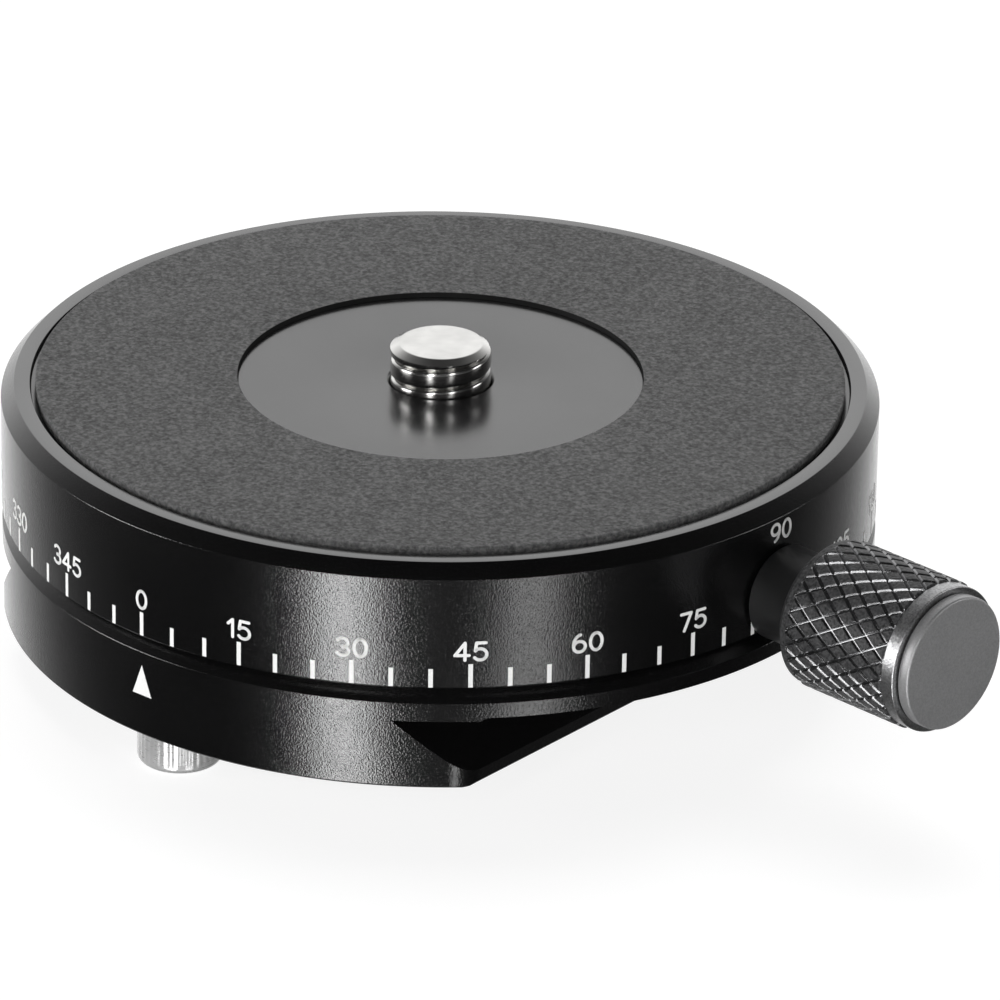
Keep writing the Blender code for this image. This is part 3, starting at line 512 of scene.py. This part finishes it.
def table_profile():
    centre_r = PAD_HOLE_R - SEAT_GAP
    points = [
        (CAVITY_R, TABLE_BOTTOM), (CAVITY_R, CAVITY_TOP), (SPINDLE_POCKET_R, CAVITY_TOP),
        (SPINDLE_POCKET_R, SPINDLE_POCKET_TOP), (STUD_BORE_R, SPINDLE_POCKET_TOP),
        (STUD_BORE_R, RIM_TOP - STUD_BORE_CHAMFER), (STUD_BORE_R + STUD_BORE_CHAMFER, RIM_TOP),
        (centre_r, RIM_TOP), (centre_r, POCKET_FLOOR), (POCKET_R, POCKET_FLOOR), (POCKET_R, RIM_TOP),
        (BODY_R - TOP_CHAMFER, RIM_TOP), (BODY_R, RIM_TOP - TOP_CHAMFER),
        (BODY_R, TABLE_BOTTOM + EDGE_BREAK), (BODY_R - EDGE_BREAK, TABLE_BOTTOM),
    ]
    return rounded(points, {5: 0.02, 6: 0.02, 9: 0.10, 10: 0.05, 11: 0.06, 12: 0.10, 13: 0.05, 14: 0.05})


def make_table():
    table = lathe("turntable_body", table_profile(), AROUND_BODY)
    bore = lathe("bore", [(0, LOCK_BORE_START), (LOCK_BORE_R, LOCK_BORE_START), (LOCK_BORE_R, PAST_BODY),
                          (0, PAST_BODY)], 32, closed=False)
    bore.matrix_world = lock_matrix()
    cutters = [bore]
    for k in range(4):
        angle = radians(45 + 90 * k)
        cutters.append(round_hole((RETAINER_CIRCLE_R * cos(angle), RETAINER_CIRCLE_R * sin(angle)),
                                  [(0, RETAINER_HOLE_BOTTOM), (RETAINER_HOLE_R, RETAINER_HOLE_BOTTOM),
                                   (RETAINER_HOLE_R, RETAINER_HOLE_TOP), (0, RETAINER_HOLE_TOP)], 24))
    cut(table, *cutters)
    smooth_by(table, 30)
    finish_piece(table, "turntable", "black_anodised", WALL, RIM, RECESS)
    for face in table.data.polygons:
        centre = face.center / MM
        reach = hypot(centre.x, centre.y)
        if centre.z > RIM_TOP - 0.05 and reach > POCKET_R:
            face.material_index = 1
        elif centre.z > POCKET_FLOOR - 0.25 and reach < POCKET_R + 0.12:
            face.material_index = 2
    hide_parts("turntable")


# Base with its dovetail foot

def base_profile():
    points = [
        (SPINDLE_BORE_R, 0), (SPINDLE_BORE_R, SPINDLE_SEAT_TOP), (SPINDLE_SEAT_R, SPINDLE_SEAT_TOP),
        (SPINDLE_SEAT_R, BASE_TOP), (GLIDE_GROOVE_INNER_R, BASE_TOP),
        (GLIDE_GROOVE_INNER_R, GLIDE_GROOVE_FLOOR), (GLIDE_GROOVE_OUTER_R, GLIDE_GROOVE_FLOOR),
        (GLIDE_GROOVE_OUTER_R, BASE_TOP), (BODY_R - BASE_CHAMFER, BASE_TOP),
        (BODY_R, BASE_TOP - BASE_CHAMFER), (BODY_R, EDGE_BREAK), (BODY_R - EDGE_BREAK, 0),
    ]
    return rounded(points, {8: 0.08, 9: 0.10, 10: 0.05, 11: 0.05})


def groove_outline(side):
    """Section of the dovetail groove on one side of the foot, as (x, z) points."""
    waist = FOOT_HALF - (FOOT_CEILING - FOOT_LIP)
    top = FOOT_CEILING + FOOT_RELIEF_DEPTH
    section = [(FOOT_HALF - EDGE_BREAK + BELOW_FOOT, BELOW_FOOT), (FOOT_HALF, EDGE_BREAK),
               (FOOT_HALF, FOOT_LIP), (waist, FOOT_CEILING), (FOOT_RELIEF, FOOT_CEILING),
               (FOOT_RELIEF + FOOT_RELIEF_DEPTH, top), (PAST_BODY, top), (PAST_BODY, BELOW_FOOT)]
    return [(side * x, z) for x, z in section]


def corner_outline(side, end):
    """What the rounded corner between a lip and the round wall takes off."""
    centre_x = FOOT_HALF - FOOT_CORNER_R
    centre_y = sqrt((BODY_R - FOOT_CORNER_R) ** 2 - centre_x ** 2)
    sweep = atan2(centre_y, centre_x)
    curve = [(centre_x + FOOT_CORNER_R * cos(sweep * k / 16), centre_y + FOOT_CORNER_R * sin(sweep * k / 16))
             for k in range(17)]
    stretch = PAST_BODY / BODY_R
    far_x, far_y = curve[-1][0] * stretch, curve[-1][1] * stretch
    beyond = [(far_x, far_y), (FOOT_HALF + 1, far_y), (FOOT_HALF + 1, centre_y)]
    return [(side * x, end * y) for x, y in curve + beyond]


def make_base():
    base = lathe("base_body", base_profile(), AROUND_BODY)
    cutters = []
    for side in (-1, 1):
        cutters.append(prism("groove", groove_outline(side), -PAST_BODY, PAST_BODY, along_y=True))
        for end in (-1, 1):
            cutters.append(prism("corner", corner_outline(side, end), BELOW_FOOT, FOOT_CEILING))
    for end in (-1, 1):
        cutters.append(round_hole((0, end * STOP_Y),
                                  [(0, BELOW_FOOT), (STOP_SPOT_R, BELOW_FOOT), (STOP_SPOT_R, STOP_SPOT),
                                   (STOP_HOLE_R, STOP_SPOT), (STOP_HOLE_R, STOP_HOLE_TOP),
                                   (0, STOP_HOLE_TOP)], 48))
    for k in range(3):
        angle = pi / 2 + 2 * pi * k / 3
        cutters.append(round_hole((SPINDLE_SCREW_CIRCLE_R * cos(angle), SPINDLE_SCREW_CIRCLE_R * sin(angle)),
                                  SPINDLE_SCREW_HOLE, 32))
    cut(base, *cutters)
    smooth_by(base, 30)
    finish_piece(base, "base", "black_anodised", WALL, FOOT)
    for face in base.data.polygons:
        centre = face.center / MM
        reach = hypot(centre.x, centre.y)
        if not (reach > BODY_R - 0.2 or (centre.z > BASE_TOP - 0.97 and reach > BODY_R - 1.5)):
            face.material_index = 1
    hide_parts("base_plate")


# Marks wrapped on the wall, drawn in u along the wall and z

def wall_point(u, z, radius):
    """A point u millimetres along the wall from the zero mark, seen from outside."""
    angle = -pi / 2 + u / BODY_R
    return (radius * cos(angle), radius * sin(angle), z)


def stroke_outline(points, width):
    """Split a drawn line into flat quads and round ends, as lists of (u, z) polygons."""
    half = width / 2
    polygons = []
    for (ua, za), (ub, zb) in zip(points, points[1:]):
        length = hypot(ub - ua, zb - za)
        nu, nz = -(zb - za) / length * half, (ub - ua) / length * half
        polygons.append([(ua - nu, za - nz), (ub - nu, zb - nz), (ub + nu, zb + nz), (ua + nu, za + nz)])
    for u, z in points:
        polygons.append([(u + x, z + y) for x, y in circle(half, STROKE_END_POINTS)])
    return polygons


def arc(cu, cz, ru, rz, start, end, steps):
    """Points along an ellipse, with angles in degrees."""
    return [(cu + ru * cos(radians(start + (end - start) * k / steps)),
             cz + rz * sin(radians(start + (end - start) * k / steps))) for k in range(steps + 1)]


# Strokes of each numeral in a box 1 high, and its width.
DIGITS = {
    "0": ([arc(0.29, 0.5, 0.29, 0.5, 90, 450, 24)], 0.58),
    "1": ([[(0.0, 0.74), (0.24, 1.0), (0.24, 0.0)]], 0.30),
    "2": ([arc(0.29, 0.70, 0.29, 0.30, 165, -30, 12) + [(0.0, 0.0), (0.60, 0.0)]], 0.60),
    "3": ([arc(0.28, 0.745, 0.255, 0.255, 150, -90, 12), arc(0.28, 0.26, 0.30, 0.265, 90, -150, 14)], 0.58),
    "4": ([[(0.47, 0.0), (0.47, 1.0), (0.0, 0.28), (0.66, 0.28)]], 0.66),
    "5": ([[(0.54, 1.0), (0.10, 1.0), (0.04, 0.54)] + arc(0.27, 0.33, 0.31, 0.33, 130, -145, 14)], 0.58),
    "6": ([arc(0.29, 0.31, 0.29, 0.31, 90, 450, 20), arc(0.40, 0.42, 0.40, 0.58, 180, 100, 10)], 0.58),
    "7": ([[(0.0, 1.0), (0.56, 1.0), (0.18, 0.0)]], 0.56),
    "8": ([arc(0.29, 0.745, 0.25, 0.255, 90, 450, 20), arc(0.29, 0.26, 0.29, 0.26, 90, 450, 20)], 0.58),
    "9": ([arc(0.29, 0.69, 0.29, 0.31, 90, 450, 20), arc(0.18, 0.58, 0.40, 0.58, 0, -80, 10)], 0.58),
}


def number_polygons(text, middle, bottom):
    """Polygons of a number, centred at middle."""
    shapes = [DIGITS[c] for c in text]
    scale = NUMBER_HEIGHT - NUMBER_STROKE
    wide = scale * DIGIT_STRETCH
    space = NUMBER_SPACE * NUMBER_HEIGHT
    left = middle - (sum(w for _, w in shapes) * wide + space * (len(shapes) - 1)) / 2
    polygons = []
    for strokes, w in shapes:
        for stroke in strokes:
            points = [(left + u * wide, bottom + NUMBER_STROKE / 2 + z * scale) for u, z in stroke]
            polygons += stroke_outline(points, NUMBER_STROKE)
        left += w * wide + space
    return polygons


def wrapped(name, polygons):
    """Lay flat polygons of (u, z) on the wall as thin closed tiles."""
    verts, faces = [], []
    for polygon in polygons:
        start = len(verts)
        n = len(polygon)
        verts += [wall_point(u, z, BODY_R - PRINT_ROOT) for u, z in polygon]
        verts += [wall_point(u, z, BODY_R + PRINT_LIFT) for u, z in polygon]
        faces.append(tuple(start + n + k for k in range(n)))
        faces.append(tuple(start + k for k in reversed(range(n))))
        faces += [(start + k, start + (k + 1) % n, start + n + (k + 1) % n, start + n + k) for k in range(n)]
    return new_object(name, verts, faces, smooth=False)


def make_scale():
    """Ticks every five degrees, and a number every fifteen."""
    ticks = []
    for step in range(TICK_COUNT):
        u = BODY_R * radians(step * 360 / TICK_COUNT)
        left, right = u - TICK_WIDTH / 2, u + TICK_WIDTH / 2
        top = LONG_TICK_TOP if step % 3 == 0 else SHORT_TICK_TOP
        ticks.append([(left, TICK_BOTTOM), (right, TICK_BOTTOM), (right, top), (left, top)])
    tick_marks = wrapped("scale_ticks", ticks)
    finish_piece(tick_marks, "turntable", "black_anodised", PRINT)
    numbers = []
    for value in range(0, NUMBER_COUNT * NUMBER_STEP, NUMBER_STEP):
        bottom = RAISED_NUMBER_BOTTOM if value == RAISED_NUMBER else LONG_TICK_TOP + NUMBER_LIFT
        numbers += number_polygons(str(value), BODY_R * radians(value), bottom)
    number_marks = wrapped("scale_numbers", numbers)
    finish_piece(number_marks, "turntable", "black_anodised", PRINT)


def make_index():
    """White triangle on the base under the zero mark."""
    mark = wrapped("index_triangle", [INDEX_TRIANGLE])
    finish_piece(mark, "base", "black_anodised", PRINT)


# Grip pad

def make_pad():
    points = [(PAD_HOLE_R, PAD_BOTTOM), (PAD_HOLE_R, PAD_TOP), (PAD_R, PAD_TOP), (PAD_R, PAD_BOTTOM)]
    pad = lathe("grip_pad_ring", rounded(points, {1: 0.06, 2: 0.12}, 6), AROUND_BODY)
    finish_piece(pad, "turntable", "pad_rubber", PAD, PAD_HOLE_SHADE)
    # The wall of the pad's hole gets the near-black material, as painted shade in the pocket; the pad's
    # outer edge keeps the rubber.
    for face in pad.data.polygons:
        if abs(face.normal.z) < 0.6 and hypot(face.center.x, face.center.y) < (PAD_HOLE_R + 1) * MM:
            face.material_index = 1
    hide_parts("grip_pad")


# Stud with its thread

def thread_radius(phase, height):
    """Radius of the rolled thread at a phase of its pitch, with the end's chamfer."""
    away = abs(phase - round(phase)) * 2
    radius = STUD_R - THREAD_CREST_ROUND * away ** 2 - THREAD_DEPTH * away ** 8
    return min(radius, STUD_END_R + (STUD_TIP - height) * STUD_END_SLOPE)


def make_stud():
    """Threaded stud: rings of points whose radius follows the helix."""
    rings = list(STUD_FLANGE)
    for row in range(THREAD_LEVELS + 1):
        z = THREAD_LOW + (STUD_TIP - THREAD_LOW) * row / THREAD_LEVELS
        turns = (z - THREAD_START) / THREAD_PITCH - THREAD_START_ANGLE / (2 * pi)
        rings.append((z, [thread_radius(turns - k / STUD_AROUND, z) for k in range(STUD_AROUND)]))
    rings.append((STUD_TIP, STUD_END_R * 0.96))
    stud = stacked("threaded_stud", rings, STUD_AROUND, 35)
    finish_piece(stud, "turntable", "bright_steel", STUD_STEEL)
    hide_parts("camera_stud")


# Lock knob and its cap

def knurl_depth(around, along):
    """1 in the bottom of a groove and 0 at its edges, for two crossing sets of V grooves."""
    turn = around / (2 * pi) * KNURL_COUNT
    step = along / KNURL_PITCH
    away = min(abs(place - round(place)) for place in (turn + step, turn - step))
    return max(0.0, 1.0 - away / KNURL_SHARE)


def knurled_ring(s):
    """Radii of the knurl at a place along the knob, run out at both ends."""
    rise = min(1.0, (s - KNURL_START) / KNURL_RUN_OUT, (KNURL_END - s) / KNURL_RUN_OUT)
    depths = [knurl_depth(2 * pi * k / KNOB_AROUND, s - KNURL_START) for k in range(KNOB_AROUND)]
    return [KNOB_R + (KNURL_R - KNOB_R - KNURL_DEPTH * depth) * rise for depth in depths]


def make_knob():
    """Knurled knob turned about the lock screw's axis."""
    rings = [
        (NECK_START, 1.0), (NECK_START, NECK_R - 0.08), (NECK_START + 0.08, NECK_R),
        (KNOB_START - 0.12, NECK_R), (KNOB_START - 0.03, NECK_R + 0.04), (KNOB_START, NECK_R + 0.14),
        (KNOB_START, KNOB_R - 0.48), (KNOB_START + 0.03, KNOB_R - 0.40), (KNOB_START + 0.42, KNOB_R - 0.03),
        (KNOB_START + 0.48, KNOB_R), (KNURL_START - 0.02, KNOB_R),
    ]
    for row in range(KNURL_ROWS + 1):
        s = KNURL_START + (KNURL_END - KNURL_START) * row / KNURL_ROWS
        rings.append((s, knurled_ring(s)))
    rings += [
        (KNURL_END + 0.02, KNOB_R), (BAND_END - 0.06, KNOB_R), (BAND_END - 0.02, KNOB_R - 0.02),
        (BAND_END, KNOB_R - 0.06), (BAND_END, CAP_SEAT_R), (BAND_END - 1.0, CAP_SEAT_R),
    ]
    knob = stacked("knurled_knob", rings, KNOB_AROUND, 25)
    knob.matrix_world = lock_matrix()
    finish_piece(knob, "lock", "grey_knurled", KNURL_METAL, NECK_METAL, BAND_METAL, GROOVE_GLINT_METAL)
    # Groove walls of the knurl get the brighter metal: a painted glint on walls of the same metal as the
    # lands.
    for face in knob.data.polygons:
        x, y, s = (c / MM for c in face.center)
        if s < KNOB_START + 0.01 and hypot(x, y) < NECK_R + 0.2:
            face.material_index = 1
        elif s > KNURL_END:
            face.material_index = 2
        elif s > KNURL_START and knurl_depth(atan2(y, x), s - KNURL_START) > 0.02:
            face.material_index = 3
    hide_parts("lock_knob")


def make_cap():
    points = [(0, BAND_END - 0.9), (CAP_SHANK_R, BAND_END - 0.9), (CAP_SHANK_R, CAP_START),
              (CAP_R, CAP_START), (CAP_R, CAP_FACE), (0, CAP_FACE)]
    cap = lathe("knob_end_cap", rounded(points, {3: 0.03, 4: 0.16}, 6), 160, closed=False)
    cap.matrix_world = lock_matrix()
    finish_piece(cap, "lock", "satin_cap", CAP_METAL)
    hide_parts("knob_cap")


# Stop screws

def make_stop_screw(name, node_name, place):
    """Cap screw, head down, with a straight knurl and a key socket."""
    around = STOP_TEETH * TOOTH_POINTS
    notches = [TOOTH_DEPTH * (1 - abs(k % TOOTH_POINTS / TOOTH_POINTS - 0.5) * 2) for k in range(around)]
    toothed = [STOP_HEAD_R - notch for notch in notches]
    rings = [(SCREW_END, 1.9)]
    for k in range(9):
        angle = pi / 16 * k
        rings.append((SCREW_END + STOP_HEAD_ROUND * (1 - cos(angle)),
                      STOP_HEAD_R - STOP_HEAD_ROUND * (1 - sin(angle))))
    rings += [(-2.0, toothed), (0.03, toothed), (0.08, STOP_HEAD_R), (0.22, STOP_HEAD_R), (0.29, 2.58),
              (0.29, STOP_SHANK_R), (5.04, STOP_SHANK_R), (5.14, STOP_SHANK_R - 0.1)]
    screw = stacked(name, rings, around, 35, place)
    corner_r = SOCKET_WIDTH / 2 / cos(pi / 6)
    socket = prism("socket", circle(corner_r, 6), SCREW_END - 0.99, SCREW_END + SOCKET_DEPTH)
    socket.location = (place[0] * MM, place[1] * MM, 0)
    cut(screw, socket)
    smooth_by(screw, 35)
    finish_piece(screw, "base", "zinc_steel", SCREW_STEEL)
    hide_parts(node_name)


# Camera, floor and light

def set_camera():
    place = Vector((0, -DISTANCE * cos(ELEVATION), DISTANCE * sin(ELEVATION)))
    ahead = -place.normalized()
    right = Vector((1, 0, 0))
    up = right.cross(ahead)
    ahead, right = ahead * cos(PAN) + right * sin(PAN), right * cos(PAN) - ahead * sin(PAN)
    ahead, up = ahead * cos(TILT) + up * sin(TILT), up * cos(TILT) - ahead * sin(TILT)
    right, up = right * cos(ROLL) + up * sin(ROLL), up * cos(ROLL) - right * sin(ROLL)
    axes = Matrix((right, up, -ahead)).transposed().to_4x4()
    spin = Matrix.Rotation(VIEW_ANGLE, 4, "Z")
    spot = spin @ (place * BODY_R * MM) + Vector((0, 0, RIM_TOP * MM))
    camera_data = bpy.data.cameras.new("photo_camera")
    camera_data.sensor_width = SENSOR_WIDTH
    camera_data.sensor_fit = "HORIZONTAL"
    camera_data.lens = FOCAL * SENSOR_WIDTH
    camera_data.clip_start = 0.01
    camera_data.clip_end = 10
    camera = bpy.data.objects.new("photo_camera", camera_data)
    bpy.context.scene.collection.objects.link(camera)
    camera.matrix_world = Matrix.Translation(spot) @ (spin @ axes)
    bpy.context.scene.camera = camera


def any_ray(tree, first, second, third):
    """1 for a ray of any of the three kinds."""
    pair = node(tree, "ShaderNodeMath", operation="MAXIMUM")
    both = node(tree, "ShaderNodeMath", operation="MAXIMUM")
    tree.links.new(first, pair.inputs[0])
    tree.links.new(second, pair.inputs[1])
    tree.links.new(pair.outputs["Value"], both.inputs[0])
    tree.links.new(third, both.inputs[1])
    return both.outputs["Value"]


def floor_material():
    """White ground: bright to the camera, with the object's soft shadow left in it."""
    made = bpy.data.materials.new("studio_floor")
    made.use_nodes = True
    tree = made.node_tree
    tree.nodes.clear()
    out = node(tree, "ShaderNodeOutputMaterial")
    path = node(tree, "ShaderNodeLightPath")
    glow = node(tree, "ShaderNodeEmission")
    glow.inputs["Strength"].default_value = FLOOR_GLOW
    pale = node(tree, "ShaderNodeBsdfDiffuse")
    pale.inputs["Color"].default_value = (0.30, 0.30, 0.30, 1)
    white = node(tree, "ShaderNodeBsdfDiffuse")
    white.inputs["Color"].default_value = (0.85, 0.85, 0.85, 1)
    seen = node(tree, "ShaderNodeAddShader")
    mix = node(tree, "ShaderNodeMixShader")
    tree.links.new(glow.outputs["Emission"], seen.inputs[0])
    tree.links.new(pale.outputs["BSDF"], seen.inputs[1])
    tree.links.new(any_ray(tree, path.outputs["Is Camera Ray"], path.outputs["Is Glossy Ray"],
                           path.outputs["Is Transmission Ray"]), mix.inputs["Fac"])
    tree.links.new(white.outputs["BSDF"], mix.inputs[1])
    tree.links.new(seen.outputs["Shader"], mix.inputs[2])
    tree.links.new(mix.outputs["Shader"], out.inputs["Surface"])
    return made


def make_floor():
    floor = lathe("studio_floor", [(0, GROUND_Z), (FLOOR_R, GROUND_Z)], 64, closed=False)
    floor.data.materials.append(floor_material())
    floor.visible_glossy = False
    floor.visible_shadow = False


def direction(azimuth, elevation):
    """Unit vector towards an azimuth and an elevation in degrees."""
    turn = -pi / 2 + VIEW_ANGLE + radians(azimuth)
    tilt = radians(elevation)
    return Vector((cos(turn) * cos(tilt), sin(turn) * cos(tilt), sin(tilt)))


def set_lights():
    """Softboxes that face the plate."""
    for name, azimuth, elevation, size, power, mirrored in SOFTBOXES:
        spot = (direction(azimuth, elevation) * LIGHT_DISTANCE + LIGHT_AIM) * MM
        data = bpy.data.lights.new(name, "AREA")
        data.shape = "RECTANGLE"
        data.size = size[0] * MM
        data.size_y = size[1] * MM
        data.energy = power
        light = bpy.data.objects.new(name, data)
        light.visible_camera = False
        light.visible_glossy = mirrored
        bpy.context.scene.collection.objects.link(light)
        facing = (LIGHT_AIM * MM - spot).to_track_quat("-Z", "Y").to_matrix().to_4x4()
        light.matrix_world = Matrix.Translation(spot) @ facing


def set_world():
    """A studio with a white backdrop behind the plate, dim in front of it and above the camera."""
    world = bpy.data.worlds.new("studio")
    bpy.context.scene.world = world
    world.use_nodes = True
    tree = world.node_tree
    tree.nodes.clear()
    out = node(tree, "ShaderNodeOutputWorld")
    coords = node(tree, "ShaderNodeTexCoord")
    aim = node(tree, "ShaderNodeVectorMath", operation="DOT_PRODUCT")
    aim.inputs[1].default_value = direction(BACKDROP_AZIMUTH, 0)
    share = node(tree, "ShaderNodeMath", operation="MULTIPLY_ADD")
    share.inputs[1].default_value = 0.5
    share.inputs[2].default_value = 0.5
    soft = node(tree, "ShaderNodeBackground")
    soft.inputs["Strength"].default_value = STUDIO_STRENGTH
    white = node(tree, "ShaderNodeBackground")
    white.inputs["Color"].default_value = (1, 1, 1, 1)
    path = node(tree, "ShaderNodeLightPath")
    backdrop = node(tree, "ShaderNodeMath", operation="MULTIPLY")
    mix = node(tree, "ShaderNodeMixShader")
    tree.links.new(coords.outputs["Generated"], aim.inputs[0])
    tree.links.new(aim.outputs["Value"], share.inputs[0])
    tree.links.new(ramp(tree, share.outputs["Value"], STUDIO_STOPS), soft.inputs["Color"])
    tree.links.new(path.outputs["Is Glossy Ray"], backdrop.inputs[0])
    tree.links.new(ramp(tree, share.outputs["Value"], BACKDROP_STOPS), backdrop.inputs[1])
    tree.links.new(any_ray(tree, path.outputs["Is Camera Ray"], path.outputs["Is Transmission Ray"],
                           backdrop.outputs["Value"]), mix.inputs["Fac"])
    tree.links.new(soft.outputs["Background"], mix.inputs[1])
    tree.links.new(white.outputs["Background"], mix.inputs[2])
    tree.links.new(mix.outputs["Shader"], out.inputs["Surface"])


def main():
    make_table()
    make_base()
    make_scale()
    make_index()
    make_pad()
    make_stud()
    make_knob()
    make_cap()
    make_stop_screw("stop_screw_front_knurled", "stop_screw_front", (0, -STOP_Y))
    make_stop_screw("stop_screw_rear_knurled", "stop_screw_rear", (0, STOP_Y))
    for name in ("spindle", "retainer_ring"):
        dress(name, SPINDLE_STEEL)
    for name in ("glide_ring", "glide_washer_upper", "glide_washer_lower"):
        dress(name, GLIDE)
    for k in (1, 2, 3):
        dress(f"spindle_screw_{k}", DARK_STEEL)
    for k in (1, 2, 3, 4):
        dress(f"retainer_screw_{k}", DARK_STEEL)
    dress("lock_screw", DARK_STEEL)
    dress("brake_shoe", BRASS)
    make_floor()
    set_world()
    set_lights()
    set_camera()
    bpy.context.scene.view_settings.view_transform = "Standard"


main()
